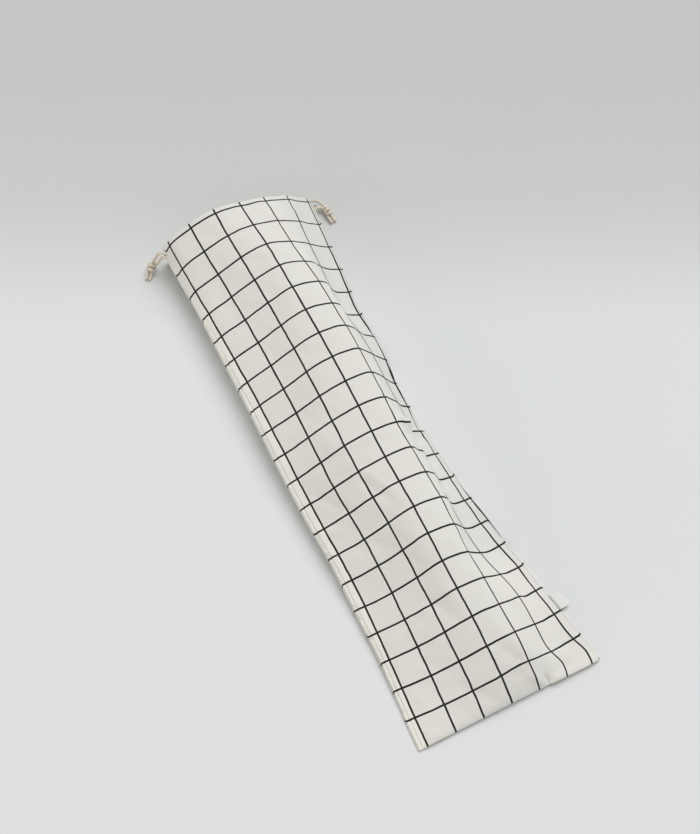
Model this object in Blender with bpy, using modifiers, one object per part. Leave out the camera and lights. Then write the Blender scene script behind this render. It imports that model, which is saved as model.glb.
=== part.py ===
"""A linen bread bag with a drawstring mouth, lying on a table in the shape that long loaves give it.

The bag is two panels of checked linen, sewn together down both long sides and across the bottom. A drawcord
runs through the hem of each panel, and each cord comes out at one side of the mouth, where its two ends are
knotted together. A small bare label is caught in the right side seam near the bottom.

Units are metres and +Z is up. +Y points along the bag to its mouth, and the table top is z = 0. The tables
below are in millimetres, with y counted from the bottom seam and x from the middle of the bag.
"""

import math
from collections import namedtuple

import bmesh
import bpy
import numpy as np
from mathutils import Vector

MM = 0.001

# The cloth, which is woven with a windowpane check whose lines number the rows and heights below.
CHECK = 35.0
LINES = (-3, -2, -1, 0, 1, 1.5, 2, 2.5, 3)  # where a cut's heights are given, in checks from its middle line
MIDDLE = 1 + LINES.index(0)  # place of the middle line among a cut's points, the first of which is the seam
CLOTH = 1.5
SEAM_GAP = 0.6
MARGIN_LEFT = (10.0, 8.0)  # outermost long line to the seam, at the mouth and at the bottom
MARGIN_RIGHT = (3.0, 6.5)
BAG_LENGTH = 696.0
CENTRE_X = 0.7  # middle of the finished outline, from where the tables count x

# How the filled bag lies. Each row of the table is a cut across it.
#   row     cross line of the check at the cut, with 0 the first line below the rim
#   y, bow  the cut's middle, and how much nearer the mouth its ends lie
#   mid     sideways place of the middle long line
#   left    height of the left seam
#   h0..h6  heights of the long lines, with h45 and h56 halfway between their neighbours
#   right   height of the right seam
#   out_l   how far the back panel stands out past the left seam, and out_r past the right
Cut = namedtuple("Cut", "row y bow mid left h0 h1 h2 h3 h4 h45 h5 h56 h6 right out_l out_r")
CUTS = [
    Cut(-0.17, 696, -2, 1, 36.0, 44, 61, 69, 61, 50, 42, 34, 22, 11, 9.0, 1.8, 2.0),
    Cut(2.00, 620, -3, 3, 30.0, 38, 52, 66, 71, 56, 45, 32, 19, 8, 7.0, 2.5, 2.0),
    Cut(5.00, 515, -2, 4, 27.0, 34, 47, 62, 74, 64, 51, 34, 18, 7, 6.0, 5.0, 2.2),
    Cut(6.50, 462, -1, 4, 26.5, 33, 48, 64, 74, 65, 51, 36, 21, 7, 5.8, 5.6, 2.3),
    Cut(8.00, 409, 1, 3, 26.0, 32, 47, 64, 73, 64, 51, 35, 17, 6, 5.6, 5.8, 2.5),
    Cut(11.0, 303, 4, 0, 19.5, 26, 45, 62, 70, 62, 47, 32, 15, 5, 5.0, 6.0, 2.5),
    Cut(13.0, 234, 5, 0, 16.0, 22, 36, 55, 70, 60, 46, 29, 14, 6, 5.4, 4.8, 2.8),
    Cut(15.0, 164, 8, -1, 10.0, 14, 29, 47, 64, 52, 37, 23, 11, 6, 5.0, 4.2, 2.7),
    Cut(17.0, 96, 8, 0, 6.5, 12, 25, 39, 51, 44, 35, 26, 12, 5, 4.4, 2.8, 2.2),
    Cut(19.0, 28, 6, 1, 4.2, 6, 13, 20, 26, 27, 20, 12, 7, 5, 4.0, 2.0, 1.9),
    Cut(19.93, 0, 0, 1, 3.6, 5, 6, 7, 8, 7, 6, 5, 4, 4, 3.6, 2.2, 1.8),
]
LENGTH_STEPS = 46
SPAN_STEPS = 4  # mesh strips between neighbouring points of a cut

# The back panel lies flat and only its edges turn up.
WALL_FOOT = 8.0  # roundness of the fold from table to side wall
BULGE_FALL = 1.2  # how far a side's bulge rounds downwards, as a share of how far it stands out
TOE_LIFT = 16.0  # the length over which the bottom seam rises off the table
FLOOR_STEPS = 8
TURN_STEPS = 4

# The drawcords, and the two ends at each side as they hang from the mouth and lie on the table.
CORD = 4.0
GROOVE = {"depth": 0.10, "width": 0.09, "slant": 0.25}  # between a knot's two turns, as shares of its size
LEFT_STRANDS = {
    "a": [(-107.9, 687.4, 35.0), (-111.3, 690.4, 33.0), (-115.0, 693.3, 25.5), (-117.8, 695.6, 16.5),
          (-119.0, 697.0, 11.0)],
    "b": [(-108.3, 683.7, 31.5), (-111.8, 685.7, 28.5), (-114.8, 688.2, 20.5), (-116.4, 690.3, 13.5),
          (-116.6, 691.8, 9.0)],
}
LEFT_KNOT = ((-124.9, 692.6, 6.1), (13.5, 12.0, 11.6), 222.0)
LEFT_TAILS = {
    "a": [(-132.0, 688.1, 3.4), (-134.6, 685.3, 2.5), (-137.4, 682.2, 2.2)],
    "b": [(-128.7, 685.0, 3.4), (-131.3, 682.2, 2.5), (-134.1, 679.1, 2.2)],
}
RIGHT_STRANDS = {
    "a": [(99.2, 688.9, 8.4), (102.0, 687.3, 7.6), (105.4, 683.8, 6.6), (107.4, 680.0, 5.9),
          (107.9, 677.6, 5.7)],
    "b": [(98.9, 677.3, 6.8), (101.0, 677.2, 6.3), (103.8, 676.4, 5.5)],
}
RIGHT_KNOT = ((108.6, 668.0, 5.3), (10.4, 14.4, 10.0), -4.0)
RIGHT_TAILS = {
    "a": [(111.0, 659.8, 3.4), (111.6, 656.0, 2.5), (112.3, 651.4, 2.2)],
    "b": [(106.4, 659.4, 3.4), (106.8, 655.6, 2.5), (107.4, 651.0, 2.2)],
}

# The label, a folded tape whose ends are caught in the side seam.
LABEL_Y = (71.0, 91.0)
LABEL_ROWS = (16.5, 19.0)  # rows of the check that the label lies between, with room to spare
LABEL_GAP = 0.4
LABEL_OUT = 10.5
LABEL_THICK = 1.2
LABEL_DROP = (3.1, 1.4)  # height of its upper face at the seam and at its fold


def smooth(knots, values, at):
    """A curve through the values at the knots, with no sudden change of slope, read at other places."""
    knots, values, at = (np.asarray(a, float) for a in (knots, values, at))
    slopes = np.gradient(values, knots)
    span = np.clip(np.searchsorted(knots, at, "right") - 1, 0, len(knots) - 2)
    width = knots[span + 1] - knots[span]
    t = (at - knots[span]) / width
    rise = t * t * (3 - 2 * t)
    return (
        values[span] * (1 - rise)
        + values[span + 1] * rise
        + slopes[span] * width * t * (1 - t) ** 2
        + slopes[span + 1] * width * t * t * (t - 1)
    )


def cut_at(row):
    """The cut across the bag at any row of the check."""
    rows = [cut.row for cut in CUTS]
    return Cut(*(float(smooth(rows, column, row)) for column in zip(*CUTS)))


def front_points(cut):
    """Where the front panel crosses a cut: distance along the cloth, x and height, from seam to seam."""
    share = 1 - cut.y / BAG_LENGTH
    left = CHECK * LINES[0] - np.interp(share, (0, 1), MARGIN_LEFT)
    right = CHECK * LINES[-1] + np.interp(share, (0, 1), MARGIN_RIGHT)
    along = np.array([left] + [CHECK * line for line in LINES] + [right])
    height = np.array(cut[Cut._fields.index("left") : Cut._fields.index("right") + 1])
    # Cloth doesn't stretch, so each next point lies as far off as the cloth between them allows.
    steps = np.sqrt(np.maximum(np.diff(along) ** 2 - np.diff(height) ** 2, 1.0))
    x = np.concatenate([[0.0], np.cumsum(steps)])
    return along, x - x[MIDDLE] + cut.mid, height


def front_section(cut):
    """The front panel's outer face at a cut, as (x, height) from the left seam to the right one."""
    along, x, height = front_points(cut)
    count = len(along)
    at = np.interp(np.arange((count - 1) * SPAN_STEPS + 1) / SPAN_STEPS, np.arange(count), along)
    at = np.delete(at, [1, 3, -4, -2])  # the narrow strips beside the seams take every other point
    return np.column_stack([smooth(along, x, at), smooth(along, height, at)])


def quarter(centre, reach, start, turn, steps):
    """Part of an ellipse, from the start angle and through the turn, in degrees."""
    angles = np.radians(np.linspace(start, start + turn, steps + 1))
    return [(centre[0] + reach[0] * math.cos(a), centre[1] + reach[1] * math.sin(a)) for a in angles]


def toe_lift(cut, x):
    """Height of the back panel's underside, which is 0 but at the bottom, where it rises to meet the front."""
    near = max(0.0, 1 - cut.y / TOE_LIFT)
    _, seam_x, seam_height = front_points(CUTS[-1])
    rise = np.interp(x, seam_x, seam_height) - 2 * CLOTH - SEAM_GAP
    return near * near * np.maximum(rise, 0)


def side_turn(x, height, out, outwards):
    """The back panel's edge from its seam down to the table: a rounded bulge, a short wall and its foot."""
    fall = min(height / 2, BULGE_FALL * out)
    foot = min(WALL_FOOT, height / 2)
    start = x + outwards * SEAM_GAP
    points = quarter((start, height - fall), (outwards * out, fall), 90, -90, TURN_STEPS)
    points += quarter((start + outwards * (out - foot), foot), (outwards * foot, foot), 0, -90, TURN_STEPS)
    return points


def back_section(cut):
    """The back panel's outer face at a cut: over the left bulge, down to the table, across and up again."""
    _, x, height = front_points(cut)
    left = side_turn(x[0], height[0], cut.out_l, -1)
    right = side_turn(x[-1], height[-1], cut.out_r, 1)[::-1]
    floor = np.linspace(left[-1][0], right[0][0], FLOOR_STEPS + 1)[1:-1]
    points = np.array(left + [(f, 0.0) for f in floor] + right)
    points[:, 1] += toe_lift(cut, points[:, 0])
    return points


def place(cut, points):
    """A cut's (x, height) points in the row frame, in metres."""
    y = cut.y + cut.bow * (points[:, 0] / 100) ** 2
    return np.column_stack([points[:, 0] - CENTRE_X, y - BAG_LENGTH / 2, points[:, 1]]) * MM


def material(name, colour, roughness):
    made = bpy.data.materials.new(name)
    made.use_nodes = True
    shader = made.node_tree.nodes["Principled BSDF"]
    shader.inputs["Base Color"].default_value = (*colour, 1)
    shader.inputs["Roughness"].default_value = roughness
    made.diffuse_color = (*colour, 1)
    return made


def add_object(name, data, finish):
    made = bpy.data.objects.new(name, data)
    data.materials.append(finish)
    bag.objects.link(made)
    return made


def sheet(name, section, finish):
    """A panel lofted through its cuts from the rim to the bottom seam, made solid inwards from its outer face."""
    rows = np.linspace(CUTS[0].row, CUTS[-1].row, LENGTH_STEPS + 1)
    cuts = [cut_at(row) for row in rows]
    lines = [place(cut, section(cut)) for cut in cuts]
    across = len(lines[0])
    work = bmesh.new()
    grid = [[work.verts.new(point) for point in line] for line in lines]
    for upper, lower in zip(grid, grid[1:]):
        for n in range(across - 1):
            work.faces.new((upper[n], upper[n + 1], lower[n + 1], lower[n]))
    mesh = bpy.data.meshes.new(name)
    work.to_mesh(mesh)
    work.free()
    mesh.shade_smooth()
    made = add_object(name, mesh, finish)
    solid = made.modifiers.new("cloth", "SOLIDIFY")
    solid.thickness = CLOTH * MM
    solid.offset = -1 if section is back_section else 1
    solid.use_even_offset = True
    return made


def route(points):
    """Points in metres along a smooth curve through a cord's own points, about a diameter and a half apart."""
    points = np.array(points, float)
    reach = np.concatenate([[0], np.cumsum(np.linalg.norm(np.diff(points, axis=0), axis=1))])
    at = np.linspace(0, reach[-1], max(3, round(reach[-1] / CORD / 1.5) + 1))
    curve = np.column_stack([smooth(reach, points[:, axis], at) for axis in range(3)])
    return (curve - [CENTRE_X, BAG_LENGTH / 2, 0]) * MM


def cord(name, points, finish):
    line = bpy.data.curves.new(name, "CURVE")
    line.dimensions = "3D"
    line.bevel_depth = CORD / 2 * MM
    line.bevel_resolution = 2
    line.use_fill_caps = True
    spline = line.splines.new("POLY")
    curve = route(points)
    spline.points.add(len(curve) - 1)
    for point, where in zip(spline.points, curve):
        point.co = (*where, 1)
    return add_object(name, line, finish)


def knot(name, where, size, turn, finish):
    """An overhand knot pulled tight, as a rounded lump with the groove between its turns."""
    work = bmesh.new()
    bmesh.ops.create_uvsphere(work, u_segments=16, v_segments=10, radius=0.5)
    for vert in work.verts:
        off = (vert.co.x - GROOVE["slant"] * vert.co.y) / GROOVE["width"]
        pinch = 1 - GROOVE["depth"] * math.exp(-off * off)
        vert.co = Vector(side * length for side, length in zip(vert.co * pinch, size)) * MM
    mesh = bpy.data.meshes.new(name)
    work.to_mesh(mesh)
    work.free()
    mesh.shade_smooth()
    made = add_object(name, mesh, finish)
    made.location = (Vector(where) - Vector((CENTRE_X, BAG_LENGTH / 2, 0))) * MM
    made.rotation_euler.z = math.radians(turn)
    return made


def label(name, finish):
    """The tape beside the seam, following the bag's edge and drooping from it to the table."""
    cuts = [cut_at(row) for row in np.linspace(*LABEL_ROWS, 26)]
    edge = np.array([max(place(cut, back_section(cut)), key=lambda point: point[0]) for cut in cuts])
    low, high = (np.array(LABEL_Y) - BAG_LENGTH / 2) * MM
    work = bmesh.new()
    bmesh.ops.create_grid(work, x_segments=6, y_segments=4, size=0.5)
    for vert in work.verts:
        out = vert.co.x + 0.5
        droop = LABEL_DROP[0] + (LABEL_DROP[1] - LABEL_DROP[0]) * out * (2 - out)
        y = low + (high - low) * (vert.co.y + 0.5)
        seam = np.interp(-y, -edge[:, 1], edge[:, 0])
        vert.co = (seam + (LABEL_GAP + LABEL_OUT * out) * MM, y, droop * MM)
    mesh = bpy.data.meshes.new(name)
    work.to_mesh(mesh)
    work.free()
    made = add_object(name, mesh, finish)
    tape = made.modifiers.new("tape", "SOLIDIFY")
    tape.thickness = LABEL_THICK * MM
    tape.offset = -1
    return made


for old in list(bpy.data.objects):
    bpy.data.objects.remove(old)
bag = bpy.data.collections.new("bread_bag")
bpy.context.scene.collection.children.link(bag)

linen = material("checked_linen", (0.80, 0.78, 0.72), 0.9)
cotton = material("cotton_cord", (0.78, 0.70, 0.58), 0.85)
tape = material("label_tape", (0.86, 0.86, 0.84), 0.7)

sheet("front_panel", front_section, linen)
sheet("back_panel", back_section, linen)
label("side_label", tape)
for side, strands, ball, tails in (
    ("left", LEFT_STRANDS, LEFT_KNOT, LEFT_TAILS),
    ("right", RIGHT_STRANDS, RIGHT_KNOT, RIGHT_TAILS),
):
    for letter, points in strands.items():
        cord(f"{side}_strand_{letter}", points, cotton)
    knot(f"{side}_knot", *ball, cotton)
    for letter, points in tails.items():
        cord(f"{side}_tail_{letter}", points, cotton)
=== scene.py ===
import math
from collections import namedtuple

import bpy
import numpy as np
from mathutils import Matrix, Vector, noise


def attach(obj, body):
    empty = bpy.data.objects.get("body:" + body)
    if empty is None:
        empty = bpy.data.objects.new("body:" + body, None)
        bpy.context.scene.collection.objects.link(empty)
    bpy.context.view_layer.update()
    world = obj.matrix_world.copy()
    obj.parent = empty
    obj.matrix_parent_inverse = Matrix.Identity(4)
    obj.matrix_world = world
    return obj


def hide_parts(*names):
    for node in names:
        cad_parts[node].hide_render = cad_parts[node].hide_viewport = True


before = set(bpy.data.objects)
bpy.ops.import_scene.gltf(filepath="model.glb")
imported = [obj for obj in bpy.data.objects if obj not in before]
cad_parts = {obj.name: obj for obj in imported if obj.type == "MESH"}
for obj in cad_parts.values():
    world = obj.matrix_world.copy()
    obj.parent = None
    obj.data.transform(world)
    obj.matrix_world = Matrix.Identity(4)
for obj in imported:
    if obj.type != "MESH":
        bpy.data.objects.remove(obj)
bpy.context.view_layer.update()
MM = 0.001

# ---- The view ---------------------------------------------------------------------------
# The camera stands above the bag's bottom end, a little to its left, and looks down along it.
IMAGE_HIGH = 834
FOCAL_PIXELS = 1660.5
SENSOR = 24.0
eye = Vector((-0.3986, -0.7376, 1.7831))
aim = Vector((0.0022, 0.0489, 0.0))
camera = bpy.data.objects.new("camera", bpy.data.cameras.new("camera"))
camera.data.sensor_fit = "VERTICAL"
camera.data.sensor_height = SENSOR
camera.data.lens = SENSOR * FOCAL_PIXELS / IMAGE_HIGH
camera.location = eye
camera.rotation_euler = (aim - eye).to_track_quat("-Z", "Y").to_euler()
bpy.context.scene.collection.objects.link(camera)
bpy.context.scene.camera = camera
bpy.context.scene.view_settings.view_transform = "Standard"

# ---- The drawcords ----------------------------------------------------------------------
# Soft twisted cotton cord of three strands, natural cream. Two cords run round the mouth inside the hem.
# Both ends of each come out together at one side of the mouth, where they are knotted.
CORD = 4.0
LAY = 13.0  # length of one full turn of the strands
CENTRE_X = 0.7
BAG_LENGTH = 696.0
ROUND = 24  # points round a cord
CORD_STEP = 0.5  # from one ring of a cord to the next
LOBE_SHARE, LOBE_SHARP = 0.24, 0.8  # how far and how sharply the strands stand out of a cord
END_ROUND, END_SMALL = 1.0, 0.35  # length of a cord's rounded end, and its least size
CORD_ROUTES = {
    "left_cord_a": [
        (-107.9, 687.4, 35.0), (-111.3, 690.4, 33.0), (-115.0, 693.3, 25.5), (-117.8, 695.6, 16.5),
        (-120.0, 696.8, 9.5), (-125.6, 693.4, 6.6), (-129.8, 690.2, 4.4), (-132.0, 688.1, 3.4),
        (-134.6, 685.3, 2.5), (-137.4, 682.2, 2.2),
    ],
    "left_cord_b": [
        (-108.3, 683.7, 31.5), (-111.8, 685.7, 28.5), (-114.8, 688.2, 20.5), (-116.8, 691.0, 12.0),
        (-119.6, 692.6, 7.6), (-124.2, 691.6, 5.8), (-127.2, 687.3, 4.2), (-128.7, 685.0, 3.4),
        (-131.3, 682.2, 2.5), (-134.1, 679.1, 2.2),
    ],
    "right_cord_a": [
        (99.2, 688.9, 8.4), (102.0, 687.3, 7.6), (105.4, 683.8, 6.6), (107.6, 679.0, 5.8),
        (109.6, 673.0, 5.6), (110.8, 665.0, 4.4), (111.0, 659.8, 3.4), (111.6, 656.0, 2.5),
        (112.3, 651.4, 2.2),
    ],
    "right_cord_b": [
        (98.9, 677.3, 6.8), (101.0, 677.2, 6.3), (104.2, 675.8, 5.6), (106.8, 671.0, 5.4),
        (106.6, 664.6, 4.4), (106.4, 659.4, 3.4), (106.8, 655.6, 2.5), (107.4, 651.0, 2.2),
    ],
}
# Where each strand starts inside the hem, just behind the seam.
IN_HEM = {
    "left_cord_a": (-102.4, 683.4, 33.2),
    "left_cord_b": (-102.0, 680.4, 31.4),
    "right_cord_a": (93.4, 688.6, 7.4),
    "right_cord_b": (93.0, 677.2, 6.0),
}


class Wire:
    """One value in a material. Python's operators on it add the nodes that work it out."""

    def __init__(self, tree, socket=None):
        self.tree = tree
        self.socket = socket

    def node(self, kind, settings=None, values=None, out=0):
        """A node of the same material: its settings, then a number, colour or wire for each socket."""
        made = self.tree.nodes.new("ShaderNode" + kind)
        for name, value in (settings or {}).items():
            setattr(made, name, value)
        for name, value in (values or {}).items():
            if isinstance(value, Wire):
                self.tree.links.new(value.socket, made.inputs[name])
            else:
                made.inputs[name].default_value = value
        return Wire(self.tree, made.outputs[out])

    def maths(self, operation, *others):
        return self.node("Math", {"operation": operation}, dict(enumerate(others)))

    def __add__(self, other):
        return self.maths("ADD", self, other)

    __radd__ = __add__

    def __sub__(self, other):
        return self.maths("SUBTRACT", self, other)

    def __rsub__(self, other):
        return self.maths("SUBTRACT", other, self)

    def __mul__(self, other):
        return self.maths("MULTIPLY", self, other)

    def __truediv__(self, other):
        return self.maths("DIVIDE", self, other)

    def fract(self):
        return self.maths("FRACT", self)

    def absolute(self):
        return self.maths("ABSOLUTE", self)

    def sine(self):
        return self.maths("SINE", self)

    def highest(self, other):
        return self.maths("MAXIMUM", self, other)

    def step(self, low, high, to_low=0.0, to_high=1.0):
        """A smooth rise from to_low at low to to_high at high."""
        return self.node(
            "MapRange",
            {"interpolation_type": "SMOOTHSTEP"},
            {"Value": self, "From Min": low, "From Max": high, "To Min": to_low, "To Max": to_high},
        )

    def point(self, x, y, z=0.0):
        return self.node("CombineXYZ", None, {0: x, 1: y, 2: z})

    def parts(self):
        """The first two parts of a place or a map."""
        split = self.node("SeparateXYZ", None, {0: self})
        return split, Wire(split.tree, split.socket.node.outputs[1])

    def fuzz(self, place, scale, detail=2.0, rough=0.5):
        """Noise from 0 to 1 at a place."""
        return self.node(
            "TexNoise", {"noise_dimensions": "3D"},
            {"Vector": place, "Scale": scale, "Detail": detail, "Roughness": rough},
        )

    def mix(self, one, other):
        """Two colours mixed, with this value as the share of the other."""
        return self.node("Mix", {"data_type": "RGBA"}, {0: self, 6: one, 7: other}, out=2)


def new_material(name, slot_colour):
    """A material, a wire to build it with, and its shader."""
    made = bpy.data.materials.new(name)
    made.use_nodes = True
    made.diffuse_color = (*slot_colour, 1)
    shader = made.node_tree.nodes["Principled BSDF"]
    return made, Wire(made.node_tree), shader


def join(shader, **wires):
    """Wires led into the shader's sockets of the same names."""
    for name, wire in wires.items():
        wire.tree.links.new(wire.socket, shader.inputs[name.replace("_", " ")])


COTTON_LIGHT = (0.80, 0.735, 0.63, 1)
COTTON_TONE_AND_SHADE = (0.62, 0.54, 0.42, 1)
cotton, wire, shader = new_material("twisted_cotton", COTTON_LIGHT[:3])
around, along = wire.node("UVMap", {"uv_map": "lay"}).parts()
strand = (around * 3.0 - along / (LAY * MM) * 3.0).fract()
hollow = (strand - 0.5).absolute() * 2.0
fibres = wire.fuzz(wire.point(strand * 9.0, along * 900.0), 3.0, 4.0, 0.6)
# The hollows between the strands are painted darker as painted shade, and the fibres add random tone.
colour = (hollow.step(0.55, 1.0) * 0.8 + fibres * 0.3).mix(COTTON_LIGHT, COTTON_TONE_AND_SHADE)
bump = wire.node("Bump", None, {"Strength": 0.5, "Distance": 0.0004, "Height": fibres})
join(shader, Base_Color=colour, Normal=bump)
shader.inputs["Roughness"].default_value = 0.92
shader.inputs["Sheen Weight"].default_value = 0.15
shader.inputs["Sheen Roughness"].default_value = 0.5


def reach_of(points):
    """How far each point of a line lies from its start, along the line."""
    return np.concatenate([[0], np.cumsum(np.linalg.norm(np.diff(points, axis=0), axis=1))])


def smooth(knots, values, at):
    """A curve through the values at the knots, with no sudden change of slope, read at other places."""
    knots, values, at = (np.asarray(a, float) for a in (knots, values, at))
    slopes = np.gradient(values, knots)
    span = np.clip(np.searchsorted(knots, at, "right") - 1, 0, len(knots) - 2)
    width = knots[span + 1] - knots[span]
    t = (at - knots[span]) / width
    rise = t * t * (3 - 2 * t)
    return (
        values[span] * (1 - rise)
        + values[span + 1] * rise
        + slopes[span] * width * t * (1 - t) ** 2
        + slopes[span + 1] * width * t * t * (t - 1)
    )


def curve_through(points, step):
    """Evenly spaced points along a smooth curve through the given points."""
    points = np.array(points, float)
    reach = reach_of(points)
    fine = np.linspace(0, reach[-1], 400)
    line = np.column_stack([smooth(reach, points[:, axis], fine) for axis in range(3)])
    reach = reach_of(line)
    even = np.linspace(0, reach[-1], max(4, round(reach[-1] / step)) + 1)
    return np.column_stack([np.interp(even, reach, line[:, axis]) for axis in range(3)])


def mesh_piece(name, points, faces, finish, uv_name, uv):
    """A smooth-shaded mesh object from points in metres, with a map of the cloth or cord on its corners."""
    mesh = bpy.data.meshes.new(name)
    mesh.from_pydata([tuple(p) for p in points], [], faces)
    layer = mesh.uv_layers.new(name=uv_name)
    corner = np.empty(len(mesh.loops), np.int32)
    mesh.loops.foreach_get("vertex_index", corner)
    layer.data.foreach_set("uv", np.asarray(uv, np.float32)[corner].ravel())
    mesh.shade_smooth()
    mesh.materials.append(finish)
    made = bpy.data.objects.new(name, mesh)
    bpy.context.scene.collection.objects.link(made)
    return made


def twisted_cord(name, line, finish, thick=CORD, phase=0.0):
    """A cord of three twisted strands along a line of points in metres, its ends rounded off."""
    reach = reach_of(line)
    tangents = np.gradient(line, axis=0)
    tangents /= np.linalg.norm(tangents, axis=1)[:, None]
    side = np.cross(tangents[0], (0.3, 0.2, 1.0))
    points, uv = [], []
    turns = np.arange(ROUND + 1) / ROUND
    for place, tangent, far in zip(line, tangents, reach):
        side = side - tangent * side.dot(tangent)
        side /= np.linalg.norm(side)
        other = np.cross(tangent, side)
        lobe = np.abs(np.cos(1.5 * 2 * np.pi * (turns - far / (LAY * MM)) + phase))
        reach_out = thick / 2 * MM * (1 - LOBE_SHARE + LOBE_SHARE * lobe**LOBE_SHARP)
        for from_end in (far, reach[-1] - far):
            near = min(1.0, from_end / (END_ROUND * MM))
            reach_out = reach_out * (END_SMALL + (1 - END_SMALL) * math.sqrt(1 - (1 - near) ** 2))
        angle = 2 * np.pi * turns
        outwards = np.cos(angle)[:, None] * side + np.sin(angle)[:, None] * other
        points += list(place + reach_out[:, None] * outwards)
        uv += [(turn, far) for turn in turns]
    across = ROUND + 1
    faces = [
        (r * across + n, r * across + n + 1, (r + 1) * across + n + 1, (r + 1) * across + n)
        for r in range(len(line) - 1)
        for n in range(ROUND)
    ]
    faces.append(tuple(range(ROUND))[::-1])
    last = (len(line) - 1) * across
    faces.append(tuple(last + n for n in range(ROUND)))
    return mesh_piece(name, points, faces, finish, "lay", uv)


def in_frame(points):
    """Points measured in millimetres from the bag's bottom seam, as metres in the part's frame."""
    return (np.asarray(points, float) - [CENTRE_X, BAG_LENGTH / 2, 0]) * MM


cord_pieces = {}
for name, route in CORD_ROUTES.items():
    line = in_frame(curve_through([IN_HEM[name], *route], CORD_STEP))
    cord_pieces[name] = twisted_cord(name, line, cotton, phase=len(cord_pieces) * 0.9), line

# ---- The knots --------------------------------------------------------------------------
# At each side the two cord ends are tied together in one overhand knot, pulled tight. Here it is made
# as a short coil of cord, a little over two turns long, that the ends run through.
# Where a knot's middle is, its length, width and height, and how far it is turned, in degrees.
KNOTS = {
    "left_knot_tied": ((-124.9, 692.6, 6.1), (13.5, 12.0, 11.6), 222.0),
    "right_knot_tied": ((108.6, 668.0, 5.3), (14.4, 10.4, 10.0), 266.0),
}
KNOT_TURNS, KNOT_START = 2.3, 0.6  # turns of the cord, and the angle it starts at
KNOT_STEPS = 130
PULLED_THIN = 0.95  # share of its thickness that a cord keeps in the knot
TUCKED_OVER, TUCKED_SMALL = 0.10, 0.45  # the ends of the turns are drawn in towards the middle
SLANT = 0.8  # how far the turns wander along the knot
for name, (centre, size, turn) in KNOTS.items():
    steps = np.linspace(0, 1, KNOT_STEPS)
    angle = 2 * np.pi * KNOT_TURNS * steps + KNOT_START
    cord_here = CORD * PULLED_THIN
    half_long, half_wide, half_high = ((measure - cord_here) / 2 for measure in size)
    tuck = np.minimum(1, np.minimum(steps, 1 - steps) / TUCKED_OVER)
    drawn_in = TUCKED_SMALL + (1 - TUCKED_SMALL) * tuck
    long_way = half_long * np.sin(np.pi * (steps - 0.5)) + SLANT * np.sin(angle * 0.5)
    long_way = np.clip(long_way, -half_long, half_long)
    local = np.column_stack([
        long_way,
        np.cos(angle) * half_wide * drawn_in,
        np.sin(angle) * half_high * drawn_in,
    ])
    c, s = math.cos(math.radians(turn)), math.sin(math.radians(turn))
    line = in_frame(local @ np.array([[c, s, 0], [-s, c, 0], [0, 0, 1]]) + centre)
    tied = twisted_cord(name, line, cotton, thick=cord_here)
    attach(tied, "root")
    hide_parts(name.replace("_tied", ""))

for name, (piece, line) in cord_pieces.items():
    side, letter = name.split("_cord_")
    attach(piece, "root")
    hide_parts(f"{side}_strand_{letter}", f"{side}_tail_{letter}")
    [f"{side}_knot_tied"] if letter == "a" else []

# ---- The form of the filled bag ---------------------------------------------------------
# The bag is two panels sewn together down both sides and across the bottom. Long loaves give it its
# shape: a ridge along the right of the middle, a gentle left side and a steep right one.
CHECK = 35.0
LINES = (-3, -2, -1, 0, 1, 1.5, 2, 2.5, 3)  # where a cut's heights are given, in checks
MIDDLE = 1 + LINES.index(0)  # place of the middle line among a cut's points
SEAM_GAP = 0.6  # the panels' edges meet half of this beyond a cut's ends
STRAIGHT_TO = 5.0  # how close to the right seam the slope stays straight
SHOULDER, SHOULDER_DROP, EDGE_DROP = 2.6, 1.2, 3.8  # the rounded left edge of the front
EDGE_DROP_MOST = 0.45  # largest share of the height that the left edge drops
ROUNDED = 1.08  # how many times longer the cloth is round the left edge than straight across it
LEFT_EASE = 0.6  # share of that rounding that the left edge follows
EASE_FROM, EASE_OVER = 0.5, 2.5  # row where it begins, and rows until it is whole
FOOT_IN = 13.0  # how far the wall curves in to its foot
FOOT_IN_MOST = 0.6  # largest share of its height that it curves in
SIDE_OUT = 0.7  # how far the back stands out beyond the left seam
MARGIN_LEFT = (10.0, 8.0)  # outermost long line to the seam, at the mouth and at the bottom
MARGIN_RIGHT = (3.0, 6.5)
MARGIN_LEAST = 1.0
PULL_FROM, PULL_OVER = 80.0, 25.0  # where across the cloth the right side is pulled in
BULGE_FALL = 1.2  # fall of the rounded edge for each millimetre that it stands out
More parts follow.
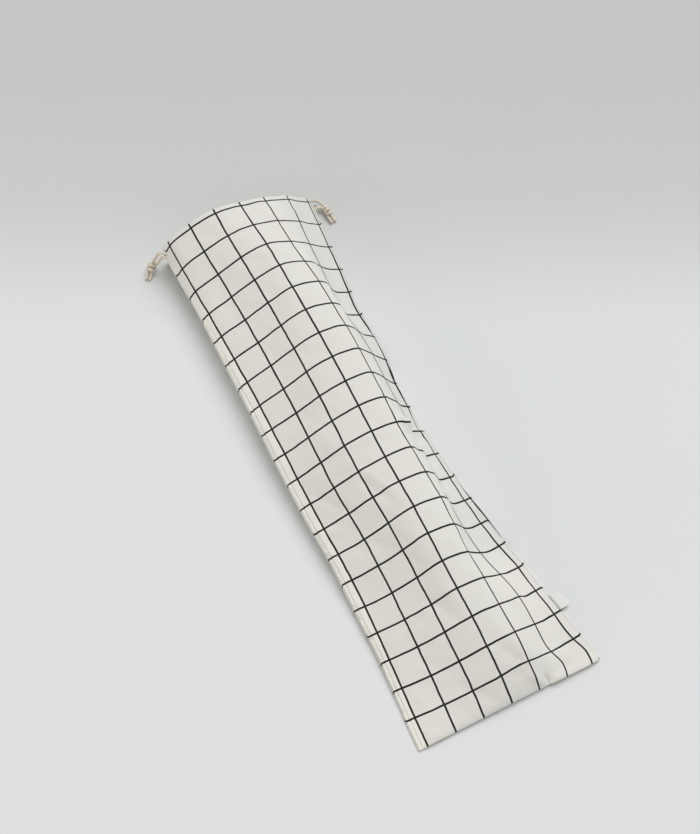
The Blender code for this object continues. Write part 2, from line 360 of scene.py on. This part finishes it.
# One cut across the bag: its row of the check, its distance from the bottom seam, how far it bows, where
# its middle line lies, the heights from seam to seam, and how far the edges stand out beyond the seams.
Cut = namedtuple("Cut", "row y bow mid left h0 h1 h2 h3 h4 h45 h5 h56 h6 right out_l out_r")
CUTS = [
    Cut(-0.17, 696, -2, 1, 36.0, 44, 61, 69, 61, 50, 42, 34, 22, 11, 9.0, 1.8, 2.0),
    Cut(2.00, 620, -3, 3, 30.0, 38, 52, 66, 71, 56, 45, 32, 19, 8, 7.0, 2.5, 2.0),
    Cut(5.00, 515, -2, 4, 27.0, 34, 47, 62, 74, 64, 51, 34, 18, 7, 6.0, 5.0, 2.2),
    Cut(6.50, 462, -1, 4, 26.5, 33, 48, 64, 74, 65, 51, 36, 21, 7, 5.8, 5.6, 2.3),
    Cut(8.00, 409, 1, 3, 26.0, 32, 47, 64, 73, 65, 50.5, 35, 19.5, 5, 4.8, 5.8, 2.5),
    Cut(11.0, 303, 4, 0, 19.5, 26, 45, 62, 70, 62, 47, 32, 15, 5, 5.0, 6.0, 2.5),
    Cut(13.0, 234, 5, 0, 16.0, 22, 36, 55, 70, 60, 46, 29, 14, 6, 5.4, 4.8, 2.8),
    Cut(15.0, 164, 8, -1, 10.0, 14, 29, 47, 64, 52, 37, 23, 11, 6, 5.0, 4.2, 2.7),
    Cut(17.0, 96, 8, 0, 6.5, 12, 25, 39, 51, 44, 35, 26, 12, 5, 4.4, 2.8, 2.2),
    Cut(19.0, 28, 6, 1, 4.2, 6, 13, 20, 26, 27, 20, 12, 7, 5, 4.0, 2.0, 1.9),
    Cut(19.93, 0, 0, 1, 3.6, 5, 6, 7, 8, 7, 6, 5, 4, 4, 3.6, 2.2, 1.8),
]
# Down the middle of the right side the seam is rolled under and pulled in. Each line gives a row, the share
# of the margin that is rolled and the millimetres that are pulled in.
ROLLED_UNDER = (
    (-0.2, 0, 0), (5.2, 0, 0), (6.0, 0.8, 0.6), (7.0, 0.8, 0.8), (8.0, 0.9, 2.4),
    (9.0, 0.9, 1.4), (9.5, 0.95, 2.6), (9.85, 0.95, 3.6), (10.12, 0.7, 0.3), (10.5, 0.7, 0),
    (11.0, 0.65, 0), (12.0, 0.3, 0), (13.0, 0, 0), (19.93, 0, 0),
)


def cut_at(row):
    """The cut across the bag at any row of the check."""
    rows = [cut.row for cut in CUTS]
    return Cut(*(float(smooth(rows, column, row)) for column in zip(*CUTS)))


def right_side(row):
    """How far the right seam is rolled under and pulled in at a row."""
    rows, *columns = zip(*ROLLED_UNDER)
    return [float(np.interp(row, rows, column)) for column in columns]


def front_points(cut):
    """Where the front panel crosses a cut: distance along the cloth, x and height, from seam to seam."""
    share = 1 - cut.y / BAG_LENGTH
    left = CHECK * LINES[0] - np.interp(share, (0, 1), MARGIN_LEFT)
    rolled, pulled_in = right_side(cut.row)
    margin = np.interp(share, (0, 1), MARGIN_RIGHT) * (1 - rolled)
    right = CHECK * LINES[-1] + max(MARGIN_LEAST, margin)
    along = np.array([left] + [CHECK * line for line in LINES] + [right])
    height = np.array(cut[Cut._fields.index("left") : Cut._fields.index("right") + 1])
    steps = np.sqrt(np.maximum(np.diff(along) ** 2 - np.diff(height) ** 2, 1.0))
    x = np.concatenate([[0.0], np.cumsum(steps)])
    x += cut.mid - x[MIDDLE]
    x -= pulled_in * np.clip((along - PULL_FROM) / PULL_OVER, 0, 1)
    # On the left the cloth eases past its last long line, and then rounds over to the seam.
    level = LEFT_EASE * min(max((cut.row - EASE_FROM) / EASE_OVER, 0.0), 1.0)
    edge_x = x[0] - cut.out_l
    shoulder_x = edge_x + SHOULDER
    plain_edge = height[0] - min(height[0] / 2, BULGE_FALL * cut.out_l)
    plain_shoulder = np.interp(shoulder_x, (edge_x, x[0], x[1]), (plain_edge, height[0], height[1]))
    drop = min(EDGE_DROP, EDGE_DROP_MOST * height[1])
    edge_z = plain_edge + level * (height[1] - drop - plain_edge)
    shoulder_z = plain_shoulder + level * (height[1] - SHOULDER_DROP - plain_shoulder)
    shoulder_along = along[1] - math.hypot(x[1] - shoulder_x, height[1] - shoulder_z)
    edge_along = shoulder_along - ROUNDED * math.hypot(SHOULDER, shoulder_z - edge_z)
    along = np.concatenate([[edge_along, shoulder_along], along[1:]])
    x = np.concatenate([[edge_x, shoulder_x], x[1:]])
    height = np.concatenate([[edge_z, shoulder_z], height[1:]])
    straight = along[-2] - STRAIGHT_TO
    height = np.insert(height, -2, np.interp(straight, along, height))
    x = np.insert(x, -2, np.interp(straight, along, x))
    return np.insert(along, -2, straight), x, height


def quarter(centre, reach, start, turn, steps):
    """Part of an ellipse, from the start angle and through the turn, in degrees."""
    angles = np.radians(np.linspace(start, start + turn, steps + 1))
    return [(centre[0] + reach[0] * math.cos(a), centre[1] + reach[1] * math.sin(a)) for a in angles]


def evenly(points, steps):
    """A line through the points, as evenly spaced points."""
    points = np.array(points, float)
    reach = reach_of(points)
    even = np.linspace(0, reach[-1], steps + 1)
    return np.column_stack([np.interp(even, reach, column) for column in points.T])


def side_turn(x, height, out, outwards, steps):
    """The back's edge from its seam down to the table: a rounded bulge, then a curve in to its foot."""
    fall = min(height / 2, BULGE_FALL * out)
    foot = height - fall
    foot_in = min(FOOT_IN, foot * FOOT_IN_MOST)
    start = x + outwards * SEAM_GAP / 2
    bulge = quarter((start, foot), (outwards * out, fall), 90, -90, 20)
    inner = start + outwards * (out - foot_in)
    toe_in = quarter((inner, foot), (outwards * foot_in, foot), 0, -90, 20)
    return evenly(bulge + toe_in, steps)


def bow_out(cut, x):
    """Distance from the bottom seam of a bowed cut's points."""
    return cut.y + cut.bow * (x / 100) ** 2


def normals_of(grid):
    """The directions square to a grid of points, out of the front panel."""
    down = np.gradient(grid, axis=0)
    over = np.gradient(grid, axis=1)
    normal = np.cross(over, down)
    return -normal / np.linalg.norm(normal, axis=2)[:, :, None]


def grid_faces(rows, across):
    """The four-cornered faces of a grid, as places in its list of points."""
    return [
        (r * across + n, (r + 1) * across + n, (r + 1) * across + n + 1, r * across + n + 1)
        for r in range(rows - 1)
        for n in range(across - 1)
    ]


# ---- The checked linen ------------------------------------------------------------------
# Plain-woven, unbleached linen in a warm off-white, with a windowpane check of near-black yarns every
# 35 mm both ways.
CHECK_YARN = 2.35  # width of a line of the check
LINEN_COLOUR = (0.815, 0.80, 0.755, 1)
LINEN_DEEP = (0.755, 0.735, 0.68, 1)
LINEN_DOUBLE_AND_LIT = (0.87, 0.845, 0.78, 1)
LINEN_STEEP_SHADE = (0.735, 0.732, 0.70, 1)
YARN_COLOUR = (0.013, 0.012, 0.012, 1)
THREAD = 0.8
WANDER = 1.6  # how wide a band a line of the check strays in
HEM_STITCH, STITCH_LONG = 13.6, 3.2  # distance below the first cross line, and from stitch to stitch


def checked_linen(name):
    """The cloth with its check, drawn from the map of distances across and along the cloth, in metres."""
    made, wire, shader = new_material(name, LINEN_COLOUR[:3])
    across, down = wire.node("UVMap", {"uv_map": "cloth"}).parts()
    across, down = across / MM, down / MM
    slubs_down = wire.fuzz(wire.point(across * 1.4, down * 0.045), 1.0, 3.0, 0.6)
    slubs_over = wire.fuzz(wire.point(across * 0.045, down * 1.4, 7.0), 1.0, 3.0, 0.6)
    cloudy = wire.fuzz(wire.point(across * 0.02, down * 0.02, 3.0), 1.0, 2.0, 0.5)
    over_under = (across * (math.pi / THREAD)).sine() * (down * (math.pi / THREAD)).sine()
    drift = (wire.fuzz(wire.point(across * 0.03, down * 0.05, 1.0), 1.0) - 0.5) * WANDER
    drift_down = (wire.fuzz(wire.point(across * 0.05, down * 0.03, 5.0), 1.0) - 0.5) * WANDER
    from_long = (((across + drift) / CHECK + 0.5).fract() - 0.5).absolute() * CHECK
    from_row = (((down + drift_down) / CHECK + 0.5).fract() - 0.5).absolute() * CHECK
    # The lines are thinner towards the right of the mouth, and right of the middle near the bottom.
    thinner = across.step(-20, 80, 0.0, 0.3) * down.step(20, 200, 1.0, 0.0)
    thinner_low = across.step(20, 34) * across.step(74, 90, 0.17, 0.0) * down.step(540, 580)
    half = (1.0 - thinner - thinner_low) * (CHECK_YARN / 2)
    ragged = (slubs_down + slubs_over - 1.0) * 0.35 - half
    long_yarn = 1.0 - (from_long + ragged).step(-0.25, 0.25)
    row_yarn = 1.0 - (from_row + ragged).step(-0.25, 0.25)
    yarn = long_yarn.highest(row_yarn)
    dark = yarn * (0.985 + over_under * 0.015)
    # The hem is held by one row of stitches, each drawn a little into the cloth, and the holes at their
    # ends are darkened with painted shade.
    stitch_dip_and_shade = 1.0 - ((down - HEM_STITCH).absolute()).step(0.15, 0.45)
    stitch_dip_and_shade = stitch_dip_and_shade * ((across / STITCH_LONG).fract() - 0.5).absolute().step(0.30, 0.42)
    # Along the left seam the allowance lies beneath, so the cloth is whiter there, and the band is painted
    # lighter still as a painted highlight.
    doubled_and_lit = across.step(-106.5, -104.5, 1.0, 0.0) * down.step(0, 90)
    tone = (slubs_down + slubs_over) * 0.55 + cloudy * 0.5 - 0.35 + stitch_dip_and_shade * 0.5
    cloth = doubled_and_lit.mix(tone.mix(LINEN_COLOUR, LINEN_DEEP), LINEN_DOUBLE_AND_LIT)
    # Down the upper part of the steep side the cloth is painted greyer, as painted shade on that slope.
    cloth = (across.step(40, 80) * down.step(500, 560, 1.0, 0.0)).mix(cloth, LINEN_STEEP_SHADE)
    join(shader, Base_Color=dark.mix(cloth, YARN_COLOUR))
    threads = over_under * 0.35 + slubs_down * 0.9 + slubs_over * 0.9 + yarn * 0.25 - stitch_dip_and_shade * 0.8
    join(shader, Normal=wire.node("Bump", None, {"Strength": 0.35, "Distance": 0.0004, "Height": threads}))
    shader.inputs["Roughness"].default_value = 0.9
    shader.inputs["Specular IOR Level"].default_value = 0.08
    return made


linen = checked_linen("checked_linen")

# ---- The front panel --------------------------------------------------------------------
# One piece of the checked linen, cut to the width between the side seams and the bag's length, with
# 20 mm more turned in at the mouth and stitched down as the channel for the cords.
LINEN = 0.7
FRONT_ROWS = 332
FRONT_ACROSS = 124
HEM = 20.0
HEM_ROWS = 9
FOLD_ROUND = 1.1  # radius of the hem's fold at the rim
EDGE_STEPS = np.array([0, 0.3, 0.7, 1.2, 1.8, 2.4, 3.0, 3.6, 4.2, 4.8, 5.4, 6.1, 7.1])
TOE_WIDER = 1.2  # the same steps at the bottom edge are this many times as wide
SEAM_ROLL, SEAM_SINK = 3.0, 0.55  # reach and depth of an edge's drop into its seam
TOE_ROLL, TOE_SINK = 8.0, 2.2
CREASE, CREASE_IN, CREASE_WIDE = 1.5, 4.1, 1.1  # beside the left seam: depth, place and width
ROLL_HIGH, ROLL_IN, ROLL_WIDE, PUCKER = 0.3, 2.0, 2.0, 2.2  # the roll outside it, and its unevenness
SET_FROM, SET_OVER = 40.0, 150.0  # where along the bag the crease and the roll begin
LIP, LIP_OUT, LIP_REACH = 3.0, 1.2, 7.0  # the bottom edge's lift: up, forward, and along the bag
LIP_FROM, LIP_RISE, LIP_TO, LIP_FALL = 48.0, 2.5, 116.0, 16.0  # where it starts and ends, and how fast
# A fold runs from one place on the cloth to another, with its depth at each end and its width.
Fold = namedtuple("Fold", "u0 row0 u1 row1 deep0 deep1 width")
FOLDS = [
    Fold(47, 9.85, 58, 9.95, 5.0, 7.5, 9),
    Fold(72, 9.9, 76, 10.2, -3.5, -3.5, 8),
    Fold(72, 10.55, 100, 10.2, -3.0, -2.0, 6),
    Fold(70, 11.6, 92, 11.2, -1.5, -1.0, 5),
    Fold(66, 12.6, 88, 12.2, -1.2, -0.8, 5),
    Fold(-30, 11.0, -4, 12.7, 1.3, 0.8, 5),
    Fold(-36, 11.5, -14, 12.9, -1.2, -0.6, 5),
    Fold(-20, 11.3, 5, 11.5, 0.9, 0.4, 6),
    Fold(-112, 9.9, -60, 10.2, -0.8, -0.2, 6),
    Fold(-60, 10.2, 26, 10.6, -0.6, -1.0, 7),
    Fold(-95, 10.9, -70, 11.9, -1.1, -0.3, 5),
    Fold(-100, 12.2, -86, 12.5, 1.0, 0.5, 5),
    Fold(-106, 12.9, -80, 13.3, -0.9, -0.2, 5),
    Fold(-60, 13.3, -45, 13.8, -1.0, -0.5, 6),
    Fold(-34, 14.3, -18, 14.9, -1.0, -0.5, 6),
    Fold(-36, 15.9, -16, 16.9, -1.4, -0.8, 6),
    Fold(-14, 15.8, -2, 16.6, 0.9, 0.5, 6),
    Fold(-70, 17.6, -50, 18.3, -0.8, -0.3, 6),
    Fold(8, 17.9, 24, 18.8, -1.6, -3.2, 8),
    Fold(14, 19.1, 24, 19.3, -1.6, -1.2, 6),
    Fold(30, 19.4, 40, 19.7, 1.8, 2.0, 6),
    Fold(47, 19.72, 50, 19.85, -2.6, -2.6, 4.5),
    Fold(80, 19.3, 92, 19.4, 1.4, 1.0, 8),
    Fold(-45, 18.7, -20, 19.5, -1.5, -1.2, 7),
    Fold(-92, 18.6, -78, 19.5, 0.8, 0.4, 7),
    Fold(-40, 2.1, 2, 2.8, -0.9, -0.5, 6),
    Fold(-66, 0.4, -44, 0.9, -0.8, -0.3, 6),
    Fold(-58, 3.4, -38, 3.9, 0.7, 0.3, 6),
    Fold(-60, 6.3, -42, 6.8, -0.8, -0.3, 6),
    Fold(-26, 6.4, -10, 6.8, -0.8, -0.3, 6),
    Fold(-66, 8.1, -38, 9.4, -0.9, -0.6, 6),
    Fold(-24, 8.6, -4, 9.2, 0.8, 0.3, 7),
    Fold(40, 1.2, 62, 3.0, -1.2, -0.6, 6),
    Fold(72, 0.6, 84, 2.4, 1.0, 0.5, 6),
    Fold(58, 4.5, 70, 6.5, -0.8, -0.5, 5),
]
# How far three lines of the check have been pulled in towards the middle, as row and millimetres.
PULLS = {
    1: ((-0.2, 0), (8.9, 0), (9.5, 1.4), (10.0, 2.9), (10.5, 1.8), (11.2, 0), (19.93, 0)),
    2: ((-0.2, 0), (16, 0), (18, 0.6), (19.0, 0.6), (19.55, -3.2), (19.93, 0.3)),
    3: (
        (-0.2, 0), (8, 0), (10, 2.6), (12, 2.8), (13, 2.3), (14, 2.7), (15, 2.0), (16, 0.6),
        (17, 2.2), (18, 2.8), (19.0, 3.4), (19.5, 0.4), (19.93, 3.4),
    ),
}


def fold_depth(u, v):
    """How far the folds move the cloth along its normal, in millimetres."""
    moved = np.zeros_like(u)
    for fold in FOLDS:
        start = np.array([fold.u0, fold.row0 * CHECK])
        way = np.array([fold.u1, fold.row1 * CHECK]) - start
        far = np.clip(((u - start[0]) * way[0] + (v - start[1]) * way[1]) / (way @ way), 0, 1)
        off = np.hypot(u - start[0] - way[0] * far, v - start[1] - way[1] * far)
        moved += (fold.deep0 + (fold.deep1 - fold.deep0) * far) * np.exp(-((off / fold.width) ** 2))
    return moved


def roll(distance, reach, sink):
    """The rounded drop of a panel's edge into its seam."""
    near = np.clip(1 - distance / reach, 0, 1)
    return sink * (1 - np.sqrt(1 - near**2))


def ripple(u, v, size, seed):
    """Soft unevenness of laid cloth, from -0.5 to 0.5 or so."""
    places = zip(u.ravel(), v.ravel())
    flat = [noise.noise(Vector((a / size[0], b / size[1], seed))) for a, b in places]
    return np.array(flat).reshape(u.shape)


toe_steps = EDGE_STEPS[::-1] * TOE_WIDER
rows = np.concatenate([
    np.linspace(CUTS[0].row, CUTS[-1].row - toe_steps[0] / CHECK, FRONT_ROWS - len(toe_steps) + 1),
    CUTS[-1].row - toe_steps[1:] / CHECK,
])
grid, across, down = [], [], []
for row in rows:
    cut = cut_at(row)
    along, x, height = front_points(cut)
    between = FRONT_ACROSS - 2 * len(EDGE_STEPS) + 2
    u = np.concatenate([
        along[0] + EDGE_STEPS[:-1],
        np.linspace(along[0] + EDGE_STEPS[-1], along[-1] - EDGE_STEPS[-1], between),
        along[-1] - EDGE_STEPS[-2::-1],
    ])
    x, height = smooth(along, x, u), smooth(along, height, u)
    near = np.clip(1 - np.minimum(u - u[0], u[-1] - u) / 2.0, 0, 1)
    x += np.sign(u - u.mean()) * near * SEAM_GAP / 2
    grid.append(np.column_stack([x, bow_out(cut, x), height]))
    across.append(u)
    down.append(np.full(FRONT_ACROSS, row * CHECK))
grid, across, down = np.array(grid), np.array(across), np.array(down)
pull_over = np.zeros_like(across)
for line, shifts in PULLS.items():
    beside = np.clip(1 - np.abs(across - line * CHECK) / CHECK, 0, 1)
    if line == LINES[-1]:
        beside = np.where(across > line * CHECK, 1.0, beside)
    pull_over += beside * smooth(*zip(*shifts), down / CHECK)
normal = normals_of(grid)
from_seam = np.minimum(across - across[:, :1], across[:, -1:] - across)
from_ends = np.minimum(down - down[0, 0], down[-1, 0] - down)
# The cloth is calmer near its edges, and on the upper half of the steep side, where it is drawn tight.
calm = np.clip(np.minimum(from_seam / 6, 0.35 + from_ends / 12), 0, 1)
steep = 1 - 0.8 * np.clip((across - 30) / 20, 0, 1) * np.clip((370 - down) / 40, 0, 1)
moved = ripple(across, down, (38, 52), 2.0) * 1.5 + ripple(across, down, (15, 19), 9.0) * 0.7
moved = calm * moved * steep + np.clip(from_seam / 6, 0, 1) * fold_depth(across, down)
moved -= roll(from_seam, SEAM_ROLL, SEAM_SINK)
# The seam allowance inside shows as a puckered roll along the left edge, with a crease beside it.
from_left = across - across[:, :1]
set_in = np.clip((down - SET_FROM) / SET_OVER, 0, 1)
moved -= set_in * CREASE * np.exp(-(((from_left - CREASE_IN) / CREASE_WIDE) ** 2))
puckered = ROLL_HIGH + ripple(down, from_left, (7.0, 30.0), 4.0) * PUCKER
moved += set_in * np.exp(-(((from_left - ROLL_IN) / ROLL_WIDE) ** 2)) * puckered
grid = grid + normal * moved[:, :, None]
# To the right of a small tuck the bottom edge is lifted off the back.
from_toe = down[-1, 0] - down
lifted = np.exp(-((from_toe / LIP_REACH) ** 2)) * np.clip((across - LIP_FROM) / LIP_RISE, 0, 1)
lifted = lifted * np.clip((LIP_TO - across) / LIP_FALL, 0, 1)
grid[:, :, 1] -= LIP_OUT * lifted
grid[:, :, 2] += LIP * lifted - roll(from_toe, TOE_ROLL, TOE_SINK)


def with_hem(grid, normal, rows, across, down):
    """A panel with its hem: round the rim's fold, then back down inside the outer layer."""
    rim_way = grid[0] - grid[1]
    rim_way /= np.linalg.norm(rim_way, axis=1)[:, None]
    hem_grid, hem_down = [], []
    for angle in np.radians((180, 144, 108, 72, 36)):
        lift = FOLD_ROUND * math.sin(angle)
        sink = FOLD_ROUND * (1 + math.cos(angle))
        hem_grid.append(grid[0] + rim_way * lift - normal[0] * sink)
        hem_down.append(down[0] - FOLD_ROUND * (math.pi - angle))
    for far in np.linspace(0, HEM, HEM_ROWS)[1:]:
        spot = np.interp(rows[0] + far / CHECK, rows, np.arange(len(rows)))
        low = int(spot)
        here = grid[low] + (grid[low + 1] - grid[low]) * (spot - low)
        hem_grid.append(here - normal[low] * 2 * FOLD_ROUND)
        hem_down.append(down[0] - math.pi * FOLD_ROUND - far)
    whole = np.concatenate([np.array(hem_grid)[:0:-1], grid])
    uv = np.stack([
        np.concatenate([np.repeat(across[:1], len(hem_grid) - 1, axis=0), across]),
        np.concatenate([np.array(hem_down)[:0:-1], down]),
    ], axis=2)
    return whole, uv


whole, uv = with_hem(grid, normal, rows, across + pull_over, down)
front = mesh_piece(
    "front_linen", in_frame(whole.reshape(-1, 3)), grid_faces(len(whole), FRONT_ACROSS), linen,
    "cloth", uv.reshape(-1, 2) * MM,
)
layer = front.modifiers.new("cloth", "SOLIDIFY")
layer.thickness = LINEN * MM
layer.offset = -1
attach(front, "root")
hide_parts("front_panel")

# ---- The back panel ---------------------------------------------------------------------
# The same linen, flat on the table. Its edges turn up at both sides to the seams, further on the left,
# and its own hem is turned in at the mouth.
BACK_ROWS = 230
TURN_STEPS = 24
FLOOR_STEPS = 56
JOG = 1.3  # how far its cross lines stray from the front's
UNROLLED = 0.6  # share of the right bulge that goes where the seam is wholly rolled under
TOE_LIFT = 16.0  # how near the bottom seam the back follows the front's lifted edge
TOE_TUCK, TUCK_REACH = 1.1, 4.0
HIDDEN_LINE = 28.0  # from the left seam round to the back's first long line
rows = np.linspace(CUTS[0].row, CUTS[-1].row, BACK_ROWS)
toe = grid[-1]
grid, across, down = [], [], []
for row in rows:
    cut = cut_at(row)
    _, x, height = front_points(cut)
    left = side_turn(x[0], height[0], SIDE_OUT, -1, TURN_STEPS)
    rolled, _ = right_side(row)
    right = side_turn(x[-1], height[-1], cut.out_r * (1 - UNROLLED * rolled), 1, TURN_STEPS)[::-1]
    floor = np.linspace(left[-1][0], right[0][0], FLOOR_STEPS + 1)[1:-1]
    line = np.concatenate([left, [(f, 0.0) for f in floor], right])
    near = max(0.0, 1 - cut.y / TOE_LIFT)
    under_toe = np.interp(line[:, 0], toe[:, 0], toe[:, 2]) - 2 * LINEN
    line[:, 1] += near * near * np.maximum(under_toe, 0)
    reach = reach_of(line)
    tuck = max(0.0, 1 - cut.y / TUCK_REACH) ** 2 * TOE_TUCK
    grid.append(np.column_stack([line[:, 0], bow_out(cut, line[:, 0]) + tuck, line[:, 1]]))
    across.append(reach - HIDDEN_LINE)
    down.append(np.full(len(line), row * CHECK + JOG * math.sin(row * 1.7)))
grid, across, down = np.array(grid), np.array(across), np.array(down)
normal = -normals_of(grid)
from_left = across - across[:, :1]
from_right = across[:, -1:] - across
moved = -roll(np.minimum(from_left, from_right), SEAM_ROLL, SEAM_SINK)
grid = grid + normal * moved[:, :, None]
grid[:, :, 2] = np.maximum(grid[:, :, 2], 0.0)
whole, uv = with_hem(grid, normal, rows, across, down)
back = mesh_piece(
    "back_linen", in_frame(whole.reshape(-1, 3)), grid_faces(len(whole), grid.shape[1]), linen,
    "cloth", uv.reshape(-1, 2) * MM,
)
layer = back.modifiers.new("cloth", "SOLIDIFY")
layer.thickness = LINEN * MM
layer.offset = 1
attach(back, "root")
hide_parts("back_panel")

# ---- The side label ---------------------------------------------------------------------
# A short loop of plain white woven tape, folded double with both ends caught in the right seam. It is
# left bare.
LABEL_Y = (71.0, 91.0)
LABEL_ROWS = (16.5, 19.0)
LABEL_OUT = 12.9
LABEL_IN = 2.0  # how far inside the seam's outer face the tape's ends are caught
LABEL_HIGH, LABEL_GAP, LABEL_CURL = 3.9, 0.75, 0.7  # height of its ends, half its opening, its curl
FOLD_STEPS, LONG_STEPS = 30, 24
RIB, TWILL = 0.6, 0.9
TAPE = 0.4
TAPE_WHITE = (0.86, 0.86, 0.83, 1)
TAPE_SHADE = (0.74, 0.74, 0.70, 1)
woven_tape, wire, shader = new_material("woven_tape", TAPE_WHITE[:3])
out_way, long_way = wire.node("UVMap", {"uv_map": "tape"}).parts()
out_way, long_way = out_way / MM, long_way / MM
ribs = (long_way * (2 * math.pi / RIB)).sine() * 0.5 + 0.5
twill = ((out_way + long_way) * (2 * math.pi / TWILL)).sine() * 0.5 + 0.5
join(shader, Base_Color=(ribs * 0.25 + twill * 0.2).mix(TAPE_WHITE, TAPE_SHADE))
raised = ribs + twill * 0.6
join(shader, Normal=wire.node("Bump", None, {"Strength": 0.3, "Distance": 0.0003, "Height": raised}))
shader.inputs["Roughness"].default_value = 0.7
edge = []
for row in np.linspace(*LABEL_ROWS, 60):
    cut = cut_at(row)
    _, x, height = front_points(cut)
    edge.append((x[-1] + SEAM_GAP + cut.out_r, bow_out(cut, x[-1])))
edge = np.array(edge)
points, uv = [], []
long_steps = np.linspace(*LABEL_Y, LONG_STEPS + 1)
for n in range(FOLD_STEPS + 1):
    share = n / FOLD_STEPS
    out = LABEL_OUT * math.sin(math.pi * share) ** 0.55
    top = 1 if share < 0.5 else -1
    for y in long_steps:
        seam = np.interp(-y, -edge[:, 1], edge[:, 0])
        t = out / LABEL_OUT
        droop = LABEL_HIGH - 1.3 * t + 0.9 * t * t
        gap = LABEL_GAP * math.sqrt(max(0.0, 1 - t**6))
        curl = LABEL_CURL * t * math.sin((y - LABEL_Y[0]) / (LABEL_Y[1] - LABEL_Y[0]) * math.pi)
        points.append((seam - LABEL_IN + out, y, droop + top * gap + curl))
        uv.append(((out if top > 0 else 2 * LABEL_OUT - out) * MM, y * MM))
label = mesh_piece(
    "label_loop", in_frame(points), grid_faces(FOLD_STEPS + 1, len(long_steps)), woven_tape, "tape", uv
)
layer = label.modifiers.new("tape", "SOLIDIFY")
layer.thickness = TAPE * MM
layer.offset = 0
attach(label, "root")
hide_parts("side_label")

# ---- The table and the light ------------------------------------------------------------
# A plain pale table with a faint grain, painted darker towards its far side as painted shade. The light is
# a wide soft window at the upper right, a weaker warm reflector low on the left, and even light from all
# round.
TABLE_PALE = (0.778, 0.793, 0.795, 1)
TABLE_FAR_SHADE = (0.593, 0.600, 0.586, 1)
TABLE_HALF, TABLE_DOWN = 4, -0.0003  # half its side, and its height, in metres
AWAY = (0.454, 0.891)  # the level way that the painted shade on the table deepens
ROOM_COLOUR, ROOM_LIGHT = (1.0, 0.995, 0.98, 1), 0.39
table_paint, wire, shader = new_material("pale_table", TABLE_PALE[:3])
spot = wire.node("NewGeometry")
x_way, y_way = spot.parts()
far = x_way * AWAY[0] + y_way * AWAY[1]
grain = wire.fuzz(spot, 60.0, 3.0, 0.6) * 0.06 + wire.fuzz(spot, 9.0, 3.0, 0.6) * 0.08 - 0.05
far_shade_and_grain = far.step(0.15, 0.375) * 0.75 + far.step(0.30, 0.62) * 0.25 + grain
join(shader, Base_Color=far_shade_and_grain.mix(TABLE_PALE, TABLE_FAR_SHADE))
shader.inputs["Roughness"].default_value = 0.95
mesh = bpy.data.meshes.new("table")
corners = ((-1, -1), (1, -1), (1, 1), (-1, 1))
mesh.from_pydata([(TABLE_HALF * x, TABLE_HALF * y, TABLE_DOWN) for x, y in corners], [], [(0, 1, 2, 3)])
mesh.materials.append(table_paint)
table = bpy.data.objects.new("table", mesh)
bpy.context.scene.collection.objects.link(table)

Lamp = namedtuple("Lamp", "name towards spread energy colour")
for soft in (
    Lamp("window", (0.46, 0.26, 0.85), 0.9, 1.90, (0.98, 0.99, 1.0)),
    Lamp("reflector", (-0.98, -0.10, 0.16), 0.7, 0.82, (1.0, 0.975, 0.93)),
):
    lamp = bpy.data.objects.new(soft.name, bpy.data.lights.new(soft.name, "SUN"))
    lamp.data.angle = soft.spread
    lamp.data.energy = soft.energy
    lamp.data.color = soft.colour
    lamp.rotation_euler = Vector(soft.towards).to_track_quat("Z", "Y").to_euler()
    bpy.context.scene.collection.objects.link(lamp)
world = bpy.data.worlds.new("soft_room")
world.use_nodes = True
background = world.node_tree.nodes["Background"]
background.inputs["Color"].default_value = ROOM_COLOUR
background.inputs["Strength"].default_value = ROOM_LIGHT
bpy.context.scene.world = world
